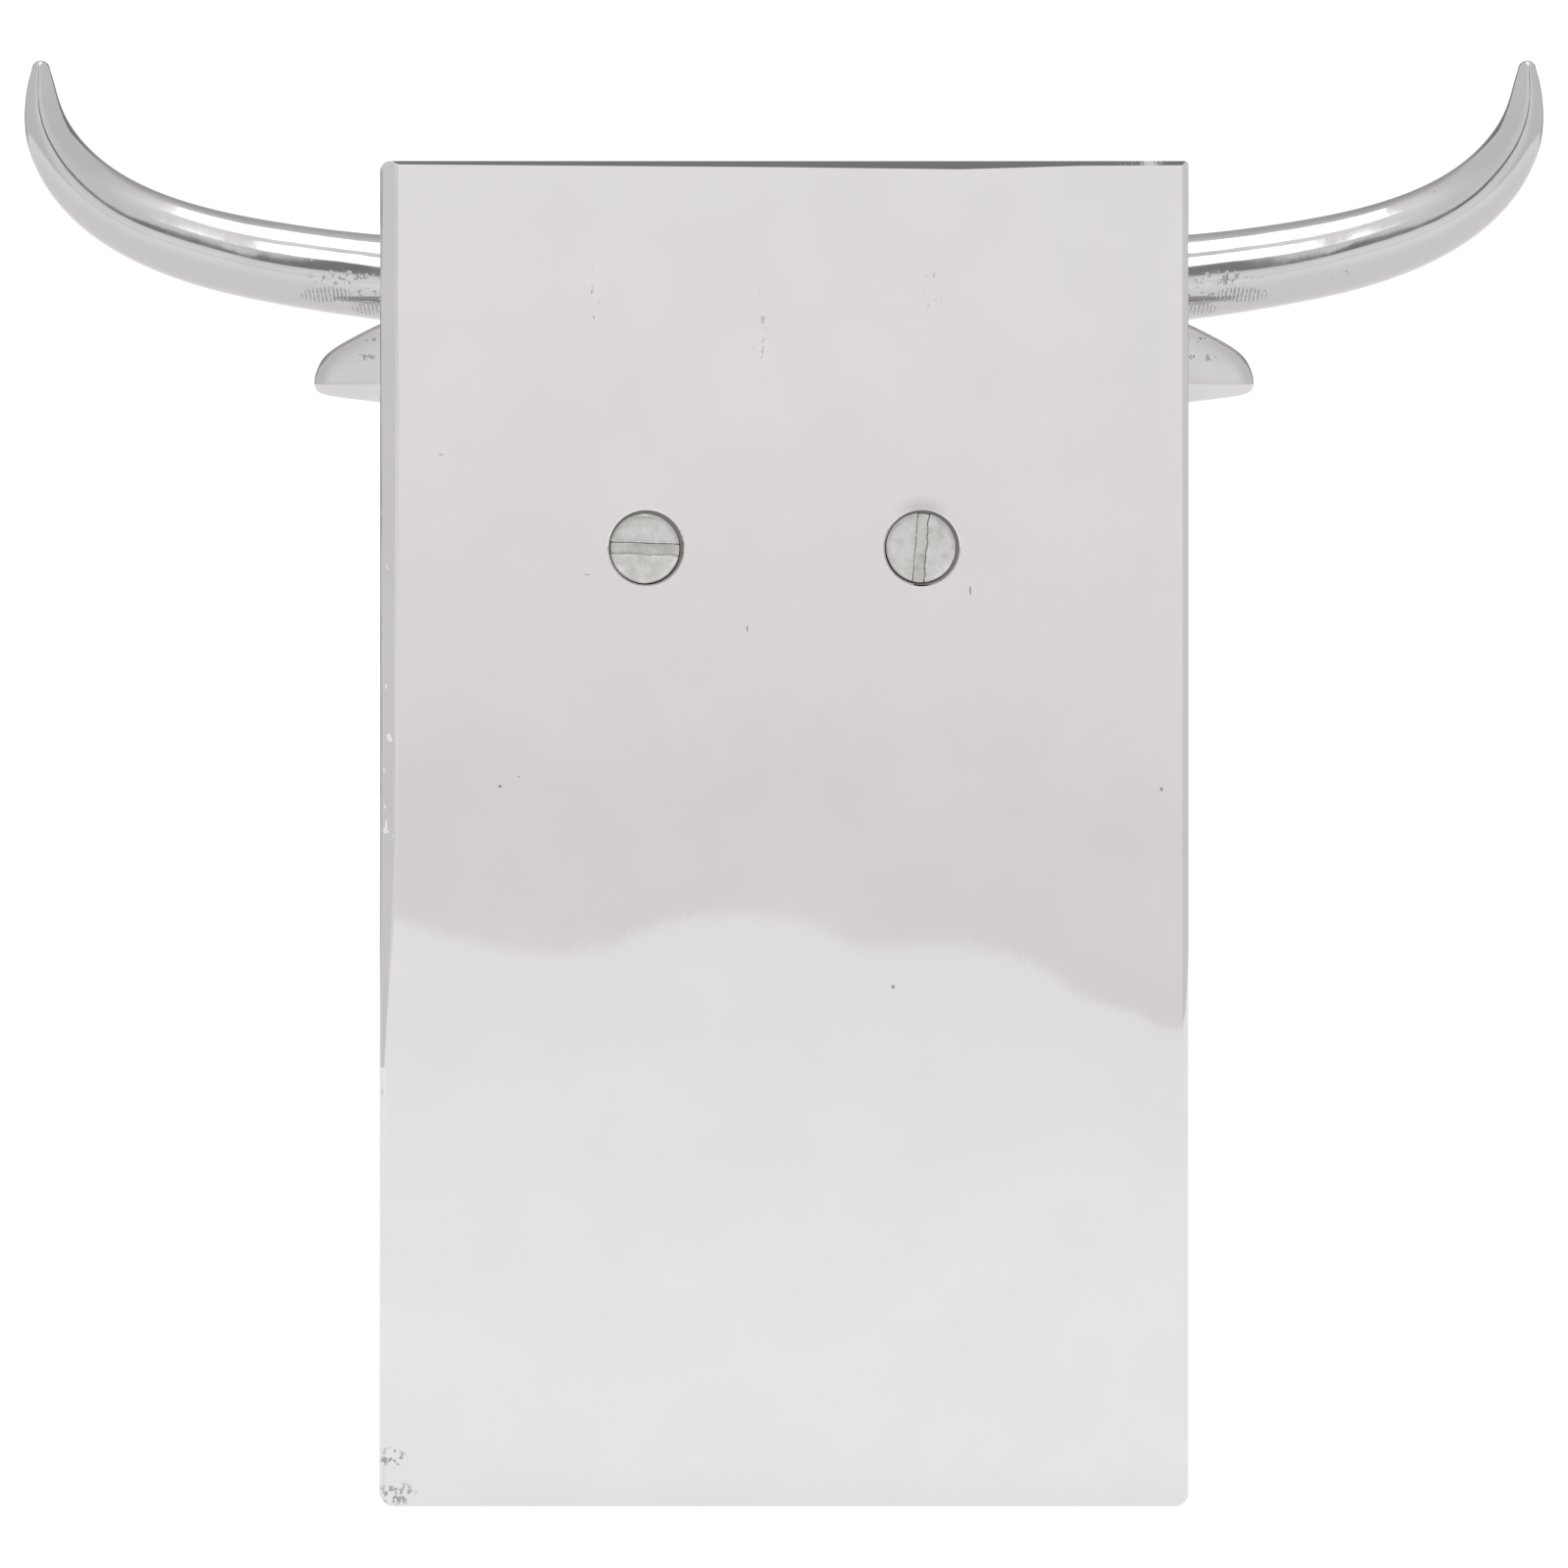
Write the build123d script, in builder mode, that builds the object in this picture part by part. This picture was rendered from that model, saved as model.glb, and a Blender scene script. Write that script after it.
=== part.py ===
"""A polished cast-aluminium bookend with a bull's head.

The upright and its foot are one L-shaped casting. The head is a second casting, held by two slotted
screws that pass through the upright from its book side. Horns and ears are castings of their own, and
each has a spigot in a blind socket in the head.

X runs along the horns and Z is up. The bull looks towards -Y and the books stand against the +Y face.
The origin is at the middle of the overall box, on the shelf.
"""
from build123d import *
import os

os.makedirs("parts", exist_ok=True)

# ---- driving dimensions, mm ----
PLATE_WIDTH = 114.3
PLATE_HEIGHT = 190.0
PLATE_THICKNESS = 9.5
FOOT_REACH = 100.0
FOOT_THICKNESS = 9.5
INNER_FILLET = 5.0

# Hand-dressed edges. The +X edge of the book face is well rounded above, and almost square below.
ROUNDED_SIDE_RADII = {0.0: 0.7, 62.0: 0.9, 92.0: 2.6, PLATE_HEIGHT: 2.9}
SQUARE_SIDE_RADIUS = 1.1
TOP_CORNER_RADII = {1: 1.4, -1: 0.5}
# A shallow bevel along the book face's top edge, filed by eye: its height at each x
TOP_BEVEL_HEIGHTS = {-60.0: 0.6, -42.0: 0.7, -25.0: 1.2, 0.0: 0.9, 28.0: 0.7, 60.0: 0.45}
TOP_BEVEL_SLOPE = 0.35
BOTTOM_EDGE_RADII = {1: 2.2, -1: 2.0}
FOOT_CORNER_RADIUS = 6.0
FOOT_EDGE_RADIUS = 1.5

SCREW_SPACING = 39.0
SCREW_HEIGHT = 135.4
SCREW_DIAMETER = 6.0
SCREW_LENGTH = 20.0
SCREW_HEAD_DIAMETER = 10.0
SCREW_HEAD_HEIGHT = 3.9
SLOT_WIDTH = 1.6
SLOT_DEPTH = 2.0
SCREW_RIM_CHAMFER = 0.3
SCREW_TIP_CHAMFER = 0.6
HEAD_RECESS = 0.3
TAPPED_DEPTH = 17.0
CLEARANCE_HOLE_DIAMETER = 6.6
COUNTERBORE_DIAMETER = 10.6
COUNTERBORE_BREAK = 0.2

# Head: heights above the shelf, distances forward of the upright's front face
NECK_LEVEL = 143.0
NECK_HALF_WIDTH = 31.0
NECK_HALF_HEIGHT = 42.0
NECK_REACH = 22.0
NECK_TAPER = 8
BROW_PLACE = (24.0, 33.0, 158.0)
BROW_RADIUS = 8.5
EYE_PLACE = (27.5, 33.5, 150.0)
EYE_RADIUS = 5.5
NOSTRIL_PLACE = (12.5, 71.5, 68.0)
NOSTRIL_RADIUS = 4.0
MOUTH_LEVEL = 55.0
MOUTH_GAP = 1.4
MOUTH_CENTRE = 55.0
MOUTH_HALF_WIDTH = 19.5
MOUTH_HALF_LENGTH = 14.5
MOUTH_CLEARANCE = 8.0
# The mouth line is open from here forward
MOUTH_START = 48.0

HORN_BOSS_RADIUS = 8.6
HORN_BOSS_LENGTH = 22.0
BOSS_FLARE = -8
HORN_SPIGOT_DIAMETER = 8.0
HORN_SPIGOT_LENGTH = 10.0
EAR_THICKNESS = 6.0
EAR_BOSS_RADIUS = 5.6
EAR_BOSS_LENGTH = 16.0
EAR_SPIGOT_DIAMETER = 5.0
EAR_SPIGOT_LENGTH = 8.0
EAR_BACK_ROUNDING = 2.4
EAR_FRONT_ROUNDING = 1.0
SOCKET_SPARE = 0.4
FIT_GAP = 0.05

# ---- places that follow from them ----
OVERALL_DEPTH = PLATE_THICKNESS + FOOT_REACH
BOOK_FACE = OVERALL_DEPTH / 2
FRONT_FACE = BOOK_FACE - PLATE_THICKNESS
FOOT_EDGE = -OVERALL_DEPTH / 2
HALF_WIDTH = PLATE_WIDTH / 2
COUNTERBORE_DEPTH = SCREW_HEAD_HEIGHT + HEAD_RECESS

# The book face looks along +Y. Seen square on, local x runs to the viewer's right and local y up.
book_plane = Plane(origin=(0, BOOK_FACE, SCREW_HEIGHT), x_dir=(-1, 0, 0), z_dir=(0, 1, 0))

# Each screw sits a little to one side of its drilled hole, and its slot stopped at its own angle
SCREW_PLACES = {
    "left_screw": (-SCREW_SPACING / 2 - 0.18, -0.12),
    "right_screw": (SCREW_SPACING / 2 - 0.16, 0.0),
}
SLOT_ANGLES = {"left_screw": -2.0, "right_screw": 85.5}


def ahead(distance):
    """Y of a place that far in front of the upright's front face."""
    return FRONT_FACE - distance


def head_place(side, place):
    """A point of the head from its distance to the side, forward of the upright, and height."""
    across, forward, level = place
    return (side * across, ahead(forward), level)


def round_off(plane, corner, inward, radius, length):
    """Round the square edge that stands on a plane at a corner; inward is the two signs into the metal."""
    centre = (corner[0] + inward[0] * radius, corner[1] + inward[1] * radius)
    with BuildSketch(plane) as waste:
        with Locations(corner):
            Rectangle(2 * radius, 2 * radius)
        with Locations(centre):
            Circle(radius, mode=Mode.SUBTRACT)
    extrude(waste.sketch, amount=length, mode=Mode.SUBTRACT)


# ---- frame_casting: upright and foot ----
with BuildPart() as frame_casting:
    with BuildSketch(Plane.YZ.offset(-HALF_WIDTH)):
        with BuildLine():
            Polyline(
                (BOOK_FACE, 0),
                (BOOK_FACE, PLATE_HEIGHT),
                (FRONT_FACE, PLATE_HEIGHT),
                (FRONT_FACE, FOOT_THICKNESS),
                (FOOT_EDGE, FOOT_THICKNESS),
                (FOOT_EDGE, 0),
                close=True,
            )
        make_face()
    extrude(amount=PLATE_WIDTH)
    along_x = frame_casting.edges().filter_by(Axis.X)
    inner_corner = along_x.filter_by_position(Axis.Y, FRONT_FACE - 0.1, FRONT_FACE + 0.1).sort_by(Axis.Z)[0]
    fillet(inner_corner, radius=INNER_FILLET)
    foot_corners = frame_casting.edges().filter_by(Axis.Z).group_by(Axis.Y)[0]
    fillet(foot_corners, radius=FOOT_CORNER_RADIUS)
    foot_rim = frame_casting.faces().sort_by(Axis.Y)[0].edges().filter_by(Axis.X).sort_by(Axis.Z)[-1]
    fillet(foot_rim, radius=FOOT_EDGE_RADIUS)
    square_on = Plane.XZ.offset(-BOOK_FACE)
    for side in (1, -1):
        edge = side * HALF_WIDTH
        round_off(square_on, (edge, PLATE_HEIGHT), (-side, -1), TOP_CORNER_RADII[side], OVERALL_DEPTH)
        round_off(square_on, (edge, 0), (-side, 1), BOTTOM_EDGE_RADII[side], OVERALL_DEPTH)
    round_off(Plane.XY, (-HALF_WIDTH, BOOK_FACE), (1, -1), SQUARE_SIDE_RADIUS, PLATE_HEIGHT)
    for level, radius in ROUNDED_SIDE_RADII.items():
        with BuildSketch(Plane.XY.offset(level)):
            with BuildLine():
                Line((HALF_WIDTH, BOOK_FACE - radius), (HALF_WIDTH, BOOK_FACE))
                Line((HALF_WIDTH, BOOK_FACE), (HALF_WIDTH - radius, BOOK_FACE))
                CenterArc((HALF_WIDTH - radius, BOOK_FACE - radius), radius, 0, 90)
            make_face()
    loft(ruled=True, mode=Mode.SUBTRACT)
    for place, height in TOP_BEVEL_HEIGHTS.items():
        depth = TOP_BEVEL_SLOPE * height
        with BuildSketch(Plane.YZ.offset(place)):
            with BuildLine():
                Polyline(
                    (BOOK_FACE, PLATE_HEIGHT - height),
                    (BOOK_FACE - depth, PLATE_HEIGHT),
                    (BOOK_FACE + depth, PLATE_HEIGHT + height),
                    close=True,
                )
            make_face()
    loft(ruled=True, mode=Mode.SUBTRACT)
    with Locations(book_plane):
        with GridLocations(SCREW_SPACING, 0, 2, 1):
            CounterBoreHole(
                radius=CLEARANCE_HOLE_DIAMETER / 2,
                counter_bore_radius=COUNTERBORE_DIAMETER / 2,
                counter_bore_depth=COUNTERBORE_DEPTH,
                depth=PLATE_THICKNESS,
            )
    round_edges = frame_casting.faces().sort_by(Axis.Y)[-1].edges().filter_by(GeomType.CIRCLE)
    mouths = round_edges.filter_by_position(Axis.Z, SCREW_HEIGHT - 1, SCREW_HEIGHT + 1)
    chamfer(mouths, length=COUNTERBORE_BREAK)

frame_casting.part.label = "frame_casting"
export_step(frame_casting.part, "parts/frame_casting.step")


# ---- horns: a curved taper that runs out to the side and rises to the tip ----
HORN_ROOT = (33.5, ahead(24.0), 173.0)
HORN_ROOT_DIRECTION = (1.0, 0.0, 0.08)
HORN_TIP_DIRECTION = (0.0, 0.08, 1.0)
HORN_POINTS = [
    HORN_ROOT,
    (58.5, ahead(23.4), 175.4),
    (85.5, ahead(22.6), 180.2),
    (100.4, ahead(22.4), 187.7),
    (106.9, ahead(22.2), 197.5),
    (107.6, ahead(21.6), 206.7),
]
HORN_TIP_RADIUS = 1.3
# Radius at each fraction of the horn's length; the close second ring keeps the root square on its seat
HORN_RADII = {
    0.0: 7.6,
    0.04: 7.38,
    0.15: 6.8,
    0.3: 6.2,
    0.5: 5.75,
    0.65: 5.4,
    0.78: 4.7,
    0.88: 3.6,
    0.95: 2.5,
    1.0: HORN_TIP_RADIUS,
}
horn_root_plane = Plane(origin=HORN_ROOT, z_dir=HORN_ROOT_DIRECTION)

with BuildPart() as left_horn:
    with BuildLine() as horn_line:
        Spline(*HORN_POINTS, tangents=[HORN_ROOT_DIRECTION, HORN_TIP_DIRECTION])
    for along, radius in HORN_RADII.items():
        with BuildSketch(Plane(origin=horn_line.line @ along, z_dir=horn_line.line % along)):
            Circle(radius)
    loft()
    tip = left_horn.faces().filter_by(GeomType.PLANE).sort_by(Axis.X)[-1]
    fillet(tip.edges(), radius=HORN_TIP_RADIUS - 0.15)
    with BuildSketch(horn_root_plane):
        Circle(HORN_SPIGOT_DIAMETER / 2)
    extrude(amount=-HORN_SPIGOT_LENGTH)

left_horn.part.label = "left_horn"
export_step(left_horn.part, "parts/left_horn.step")

with BuildPart() as right_horn:
    mirror(left_horn.part, about=Plane.YZ)

right_horn.part.label = "right_horn"
export_step(right_horn.part, "parts/right_horn.step")

# ---- ears: leaves that stand out level, with a scooped front ----
EAR_ROOT = (34.0, ahead(12.5), 162.8)
EAR_ROOT_TOP = (34.0, 167.2)
EAR_ROOT_BOTTOM = (34.0, 158.4)
EAR_TIP_TOP = (65.9, 163.3)
EAR_TIP_END = (67.4, 160.3)
EAR_TIP_BOTTOM = (65.9, 158.0)
ear_middle = Plane.XZ.offset(-EAR_ROOT[1])
ear_root_plane = Plane(origin=EAR_ROOT, z_dir=(1, 0, 0))

with BuildPart() as left_ear:
    with BuildSketch(ear_middle):
        with BuildLine():
            Spline(EAR_ROOT_TOP, (46.0, 171.2), (58.4, 168.2), EAR_TIP_TOP)
            ThreePointArc(EAR_TIP_TOP, EAR_TIP_END, EAR_TIP_BOTTOM)
            Spline(EAR_TIP_BOTTOM, (58.4, 156.9), (46.0, 155.3), EAR_ROOT_BOTTOM)
            Line(EAR_ROOT_BOTTOM, EAR_ROOT_TOP)
        make_face()
    extrude(amount=EAR_THICKNESS / 2, both=True)
    rim_span = (EAR_ROOT[0] + 0.5, EAR_TIP_END[0] + 1)
    back_rim = left_ear.faces().sort_by(Axis.Y)[-1].edges().filter_by_position(Axis.X, *rim_span)
    fillet(back_rim, radius=EAR_BACK_ROUNDING)
    front_rim = left_ear.faces().sort_by(Axis.Y)[0].edges().filter_by_position(Axis.X, *rim_span)
    fillet(front_rim, radius=EAR_FRONT_ROUNDING)
    with BuildSketch(ear_root_plane):
        Circle(EAR_SPIGOT_DIAMETER / 2)
    extrude(amount=-EAR_SPIGOT_LENGTH)

left_ear.part.label = "left_ear"
export_step(left_ear.part, "parts/left_ear.step")

with BuildPart() as right_ear:
    mirror(left_ear.part, about=Plane.YZ)

right_ear.part.label = "right_ear"
export_step(right_ear.part, "parts/right_ear.step")

# ---- bull_head: skull, muzzle and neck, flat where it meets the upright ----
# Height, distance forward of its middle, half depth and half width of each level section
SKULL_SECTIONS = [
    (187.0, 22.0, 8.0, 12.0),
    (181.0, 20.0, 17.0, 24.0),
    (170.0, 18.0, 22.0, 31.0),
    (155.0, 18.0, 26.0, 34.0),
    (138.0, 23.0, 26.0, 33.0),
    (120.0, 30.0, 24.5, 28.0),
    (100.0, 40.0, 22.5, 23.0),
    (80.0, 49.0, 20.5, 22.5),
    (67.0, 53.5, 19.5, 24.5),
    (56.0, 55.0, 16.5, 21.5),
    (49.0, 56.0, 9.0, 13.0),
]

with BuildPart() as bull_head:
    for level, forward, half_depth, half_width in SKULL_SECTIONS:
        with BuildSketch(Plane.XY.offset(level)):
            with Locations((0, ahead(forward))):
                Ellipse(half_width, half_depth)
    loft()
    with BuildSketch(Plane.XZ.offset(-FRONT_FACE)):
        with Locations((0, NECK_LEVEL)):
            Ellipse(NECK_HALF_WIDTH, NECK_HALF_HEIGHT)
    extrude(amount=NECK_REACH, taper=NECK_TAPER)
    for side in (1, -1):
        horn_seat = Plane(
            origin=(side * HORN_ROOT[0], HORN_ROOT[1], HORN_ROOT[2]),
            z_dir=(side * HORN_ROOT_DIRECTION[0], 0, HORN_ROOT_DIRECTION[2]),
        )
        with BuildSketch(horn_seat):
            Circle(HORN_BOSS_RADIUS)
        extrude(amount=-HORN_BOSS_LENGTH, taper=BOSS_FLARE)
        ear_seat = Plane(origin=(side * EAR_ROOT[0], EAR_ROOT[1], EAR_ROOT[2]), z_dir=(side, 0, 0))
        with BuildSketch(ear_seat):
            Circle(EAR_BOSS_RADIUS)
        extrude(amount=-EAR_BOSS_LENGTH, taper=BOSS_FLARE)
        with Locations(head_place(side, BROW_PLACE)):
            Sphere(BROW_RADIUS)
        with Locations(head_place(side, EYE_PLACE)):
            Sphere(EYE_RADIUS)
        with Locations(head_place(side, NOSTRIL_PLACE)):
            Sphere(NOSTRIL_RADIUS, mode=Mode.SUBTRACT)
        with Locations(horn_seat):
            Hole(radius=HORN_SPIGOT_DIAMETER / 2 + FIT_GAP, depth=HORN_SPIGOT_LENGTH + SOCKET_SPARE)
        with Locations(ear_seat):
            Hole(radius=EAR_SPIGOT_DIAMETER / 2 + FIT_GAP, depth=EAR_SPIGOT_LENGTH + SOCKET_SPARE)
    # Mouth line, open at the front and sides
    with BuildSketch(Plane.XY.offset(MOUTH_LEVEL)):
        with Locations((0, ahead(MOUTH_CENTRE))):
            Ellipse(MOUTH_HALF_WIDTH + MOUTH_CLEARANCE, MOUTH_HALF_LENGTH + MOUTH_CLEARANCE)
            Ellipse(MOUTH_HALF_WIDTH, MOUTH_HALF_LENGTH, mode=Mode.SUBTRACT)
        with Locations((0, ahead(MOUTH_START / 2))):
            Rectangle(PLATE_WIDTH, MOUTH_START, mode=Mode.SUBTRACT)
    extrude(amount=MOUTH_GAP, mode=Mode.SUBTRACT)
    split(bisect_by=Plane.XZ.offset(-FRONT_FACE), keep=Keep.TOP)
    # Tapped holes for the two screws
    with Locations(book_plane.offset(-PLATE_THICKNESS)):
        with Locations(*SCREW_PLACES.values()):
            Hole(radius=SCREW_DIAMETER / 2 + FIT_GAP, depth=TAPPED_DEPTH)

bull_head.part.label = "bull_head"
export_step(bull_head.part, "parts/bull_head.step")

# ---- screws: slotted cheese heads, flush in the book face ----
seat = book_plane.offset(-COUNTERBORE_DEPTH)

for screw_name, slot_angle in SLOT_ANGLES.items():
    place = SCREW_PLACES[screw_name]
    with BuildPart() as screw:
        with BuildSketch(seat):
            with Locations(place):
                Circle(SCREW_HEAD_DIAMETER / 2)
        extrude(amount=SCREW_HEAD_HEIGHT)
        chamfer(screw.edges().group_by(Axis.Y)[-1], length=SCREW_RIM_CHAMFER)
        with BuildSketch(seat):
            with Locations(place):
                Circle(SCREW_DIAMETER / 2)
        extrude(amount=-SCREW_LENGTH)
        chamfer(screw.edges().group_by(Axis.Y)[0], length=SCREW_TIP_CHAMFER)
        with BuildSketch(seat.offset(SCREW_HEAD_HEIGHT)):
            with Locations(Location(place, slot_angle)):
                Rectangle(SCREW_HEAD_DIAMETER + 2, SLOT_WIDTH)
        extrude(amount=-SLOT_DEPTH, mode=Mode.SUBTRACT)
    screw.part.label = screw_name
    export_step(screw.part, f"parts/{screw_name}.step")
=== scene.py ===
import math

import bmesh
import bpy
import numpy as np
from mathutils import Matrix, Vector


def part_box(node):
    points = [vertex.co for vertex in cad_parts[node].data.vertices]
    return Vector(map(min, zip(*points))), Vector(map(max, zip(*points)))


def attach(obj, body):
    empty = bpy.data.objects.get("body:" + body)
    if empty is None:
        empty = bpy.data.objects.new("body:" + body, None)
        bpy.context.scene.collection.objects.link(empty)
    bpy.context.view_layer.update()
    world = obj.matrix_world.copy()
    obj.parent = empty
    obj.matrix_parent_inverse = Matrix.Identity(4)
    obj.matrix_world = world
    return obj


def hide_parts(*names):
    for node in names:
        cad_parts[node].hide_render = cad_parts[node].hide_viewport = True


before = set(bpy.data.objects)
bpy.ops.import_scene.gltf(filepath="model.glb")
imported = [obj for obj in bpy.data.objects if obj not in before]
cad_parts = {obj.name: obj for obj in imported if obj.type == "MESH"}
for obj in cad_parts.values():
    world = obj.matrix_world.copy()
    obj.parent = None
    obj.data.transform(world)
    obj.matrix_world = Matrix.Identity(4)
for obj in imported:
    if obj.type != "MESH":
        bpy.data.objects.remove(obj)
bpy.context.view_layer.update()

# A polished cast-aluminium bookend with a bull's head, seen from its book side.
# The bull looks towards -Y, so the camera stands on the +Y side. Lengths are in metres unless
# a name or comment says millimetres.

MM = 0.001
scene = bpy.context.scene

plate_low, plate_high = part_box("frame_casting")
BOOK_FACE = plate_high.y
# The head's flat back lies on the upright's front face
FRONT_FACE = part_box("bull_head")[1].y


# ---------------------------------------------------------------- node trees

class Nodes:
    """A material's or world's node tree with short calls."""

    def __init__(self, tree):
        self.tree = tree
        tree.nodes.clear()

    def add(self, kind, inputs=None, **settings):
        node = self.tree.nodes.new(kind)
        for key, value in settings.items():
            setattr(node, key, value)
        for key, value in (inputs or {}).items():
            if isinstance(value, bpy.types.NodeSocket):
                self.tree.links.new(value, node.inputs[key])
            else:
                node.inputs[key].default_value = value
        return node

    def math(self, operation, a, b=0.0):
        return self.add("ShaderNodeMath", {0: a, 1: b}, operation=operation).outputs[0]

    def total(self, *terms):
        result = terms[0]
        for term in terms[1:]:
            result = self.math("ADD", result, term)
        return result

    def vector(self, operation, a, b=(0.0, 0.0, 0.0)):
        return self.add("ShaderNodeVectorMath", {0: a, 1: b}, operation=operation).outputs["Vector"]

    def span(self, value, low, high, start=0.0, end=1.0):
        """Smooth step from start to end as the value goes from low to high."""
        inputs = {"Value": value, "From Min": low, "From Max": high, "To Min": start, "To Max": end}
        return self.add("ShaderNodeMapRange", inputs, interpolation_type="SMOOTHSTEP").outputs["Result"]

    def ramp(self, factor, *stops):
        """A colour by a 0 to 1 factor; a stop's value is a colour or a single grey."""
        node = self.add("ShaderNodeValToRGB", {"Fac": factor})
        elements = node.color_ramp.elements
        while len(elements) < len(stops):
            elements.new(0.5)
        for element, (place, value) in zip(elements, stops):
            element.position = place
            colour = value if isinstance(value, tuple) else (value, value, value)
            element.color = (*colour, 1.0)
        return node.outputs["Color"]

    def curve(self, factor, *points):
        """A smooth function of a 0 to 1 factor through a few points."""
        node = self.add("ShaderNodeFloatCurve", {"Factor": 1.0, "Value": factor})
        line = node.mapping.curves[0]
        while len(line.points) < len(points):
            line.points.new(0.5, 0.5)
        for point, place in zip(line.points, points):
            point.location = place
        node.mapping.update()
        return node.outputs["Value"]

    def noise(self, vector, scale, detail=3.0, roughness=0.5):
        inputs = {"Vector": vector, "Scale": scale, "Detail": detail, "Roughness": roughness}
        return self.add("ShaderNodeTexNoise", inputs).outputs["Fac"]

    def stretched(self, vector, scale):
        return self.add("ShaderNodeMapping", {"Vector": vector, "Scale": scale}).outputs["Vector"]

    def patch(self, place, centre, reach, soft=0.5):
        """One inside an ellipsoid given in millimetres, falling to nought at its edge."""
        offset = self.vector("SUBTRACT", place, tuple(c * MM for c in centre))
        scaled = self.vector("DIVIDE", offset, tuple(r * MM for r in reach))
        length = self.add("ShaderNodeVectorMath", {0: scaled}, operation="LENGTH").outputs["Value"]
        return self.span(length, 1.0 - soft, 1.0, 1.0, 0.0)

    def bump(self, height, distance, normal=None):
        inputs = {"Height": height, "Distance": distance, "Strength": 1.0}
        if normal is not None:
            inputs["Normal"] = normal
        return self.add("ShaderNodeBump", inputs).outputs["Normal"]

    def blend(self, factor, a, b):
        """Colour a where the factor is nought, colour b where it is one."""
        inputs = {"Factor": factor, "A": a, "B": b}
        return self.add("ShaderNodeMix", inputs, data_type="RGBA").outputs["Result"]

    def metal(self, **inputs):
        named = {key.replace("_", " "): value for key, value in inputs.items()}
        shader = self.add("ShaderNodeBsdfPrincipled", {"Metallic": 1.0, **named})
        self.add("ShaderNodeOutputMaterial", {"Surface": shader.outputs[0]})


def material(name):
    made = bpy.data.materials.new(name)
    made.use_nodes = True
    return made, Nodes(made.node_tree)


# ---------------------------------------------------------------- materials

ALUMINIUM = (0.750, 0.733, 0.732, 1.0)
ALUMINIUM_DULL = (0.732, 0.714, 0.714, 1.0)
POLISHED = (0.670, 0.655, 0.654, 1.0)
POLISHED_DULL = (0.630, 0.615, 0.615, 1.0)
# Painted shade for the downward-facing sides of the horns
HORN_UNDERSIDE_SHADE = (0.540, 0.527, 0.527, 1.0)
# Dark grey of the casting pits, also used as painted shade over the right-hand screw's hole
PIT_AND_SHADE_GREY = (0.20, 0.19, 0.19, 1.0)
# Painted shade inside the screw holes
HOLE_SHADE = (0.10, 0.09, 0.085, 1.0)
STEEL_DARK = (0.53, 0.52, 0.50)
STEEL_MIDDLE = (0.61, 0.60, 0.585)
STEEL_LIGHT = (0.67, 0.665, 0.65)
STEEL_STAIN = (0.30, 0.27, 0.23, 1.0)
# Painted shade for the screw slots
SLOT_SHADE_COLOUR = (0.30, 0.28, 0.25, 1.0)

# Places on the book face, as (x, height, reach in x, reach in height), millimetres
STREAKED_PITS = [(3.3, 165.0, 1.4, 8.0), (-21.0, 171.0, 1.6, 6.0), (27.0, 170.0, 1.2, 6.0)]
CORNER_PITS = [(55.4, 7.0, 2.6, 1.8), (54.6, 1.9, 3.4, 2.0)]
SPECKS = [
    (40.1, 101.7, 0.34, 0.34), (-53.3, 101.3, 0.3, 0.4), (-15.4, 73.4, 0.3, 0.36), (37.5, 103.0, 0.2, 0.16),
]
SCRATCHES = [
    (-26.3, 129.4, 0.16, 0.9), (5.2, 124.0, 0.14, 0.6), (48.5, 148.5, 0.5, 0.14), (27.8, 131.5, 0.6, 0.14),
]
# Height at which the floor's far edge would show in a flat face, and over how much height its picture
# wanders, millimetres; then the steepness of the tilt that makes it wander
EDGE_LEVEL = 79.5
EDGE_SOFTNESS = 24.0
FACE_TILT = 0.0145
# Horns: spacing and slant of the file marks, and the heights over which the painted shade on the undersides
# sets in, millimetres
FILE_MARK_PITCH = 0.58
FILE_MARK_SLANT = -0.18
UNDERSIDE_SHADE_FROM, UNDERSIDE_SHADE_FULL = 166.5, 168.5


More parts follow.
